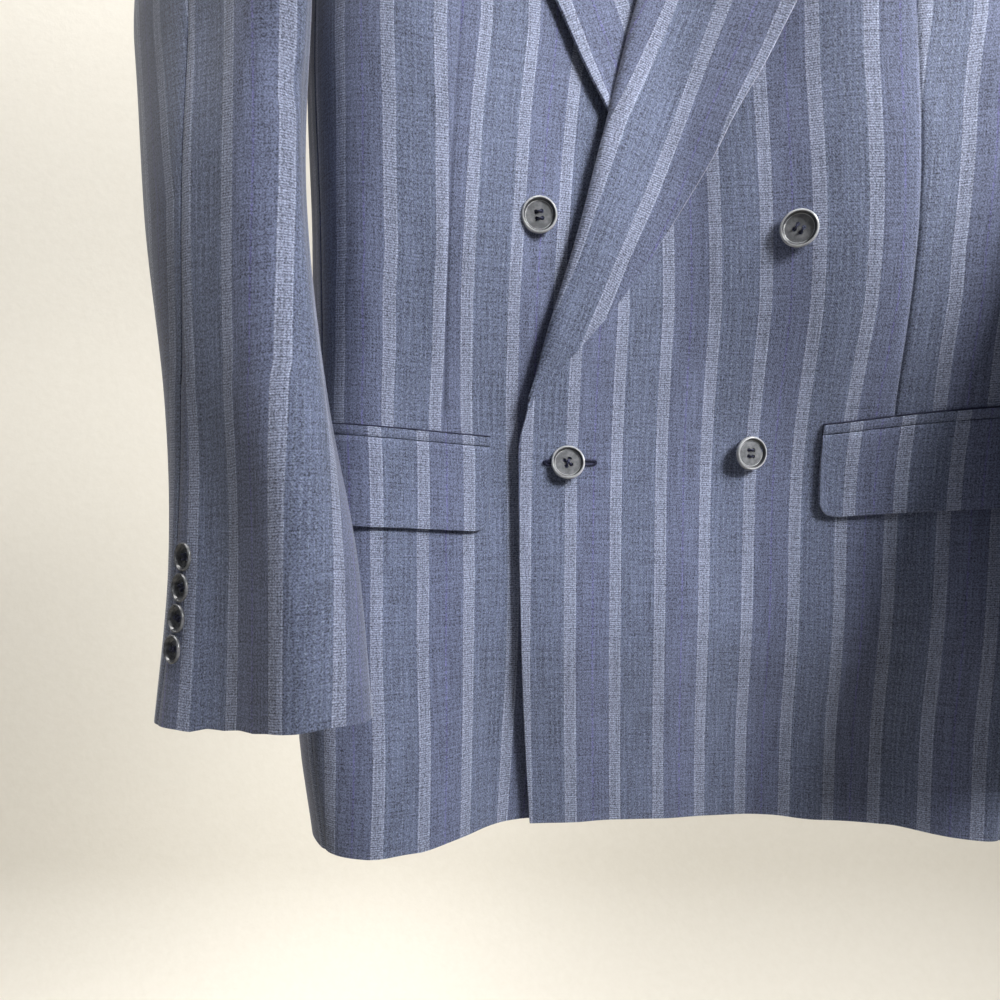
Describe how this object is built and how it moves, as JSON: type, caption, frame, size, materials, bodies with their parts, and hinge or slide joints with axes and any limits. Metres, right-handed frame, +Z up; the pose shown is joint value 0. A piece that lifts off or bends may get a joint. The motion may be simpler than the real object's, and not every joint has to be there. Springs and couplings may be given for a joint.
{
  "type": "double breasted blazer on hanger",
  "caption": "Low-buttoning double breasted blazer of striped wool with peak lapels, flap pockets and buttoned cuffs, hanging closed on a plain wooden hanger.",
  "frame": {"origin": "the point of the hook that bears on the rail", "axes": "+X to the wearer's left across the garment, +Y back towards the wall it hangs by, +Z up"},
  "size_m": [0.6096, 0.2042, 0.8548],
  "materials": {
    "suiting": "matt striped wool",
    "horn_button": "polished grey marbled",
    "cuff_button": "polished grey marbled",
    "hanger_wood": "satin",
    "hook_wire": "drawn wire"
  },
  "bodies": {
    "root": {"left_front": "suiting", "left_side_panel": "suiting", "left_back": "suiting", "left_top_sleeve": "suiting", "left_under_sleeve": "suiting", "left_lapel": "suiting", "left_pocket_jet": "suiting", "left_pocket_flap": "suiting", "right_front": "suiting", "right_side_panel": "suiting", "right_back": "suiting", "right_top_sleeve": "suiting", "right_under_sleeve": "suiting", "right_lapel": "suiting", "right_pocket_jet": "suiting", "right_pocket_flap": "suiting", "collar": "suiting", "upper_right_button": "horn_button", "upper_left_button": "horn_button", "lower_right_button": "horn_button", "lower_left_button": "horn_button", "left_cuff_button_1": "cuff_button", "left_cuff_button_2": "cuff_button", "left_cuff_button_3": "cuff_button", "left_cuff_button_4": "cuff_button", "right_cuff_button_1": "cuff_button", "right_cuff_button_2": "cuff_button", "right_cuff_button_3": "cuff_button", "right_cuff_button_4": "cuff_button", "hanger_body": "hanger_wood", "hanger_hook": "hook_wire"}
  },
  "joints": []
}
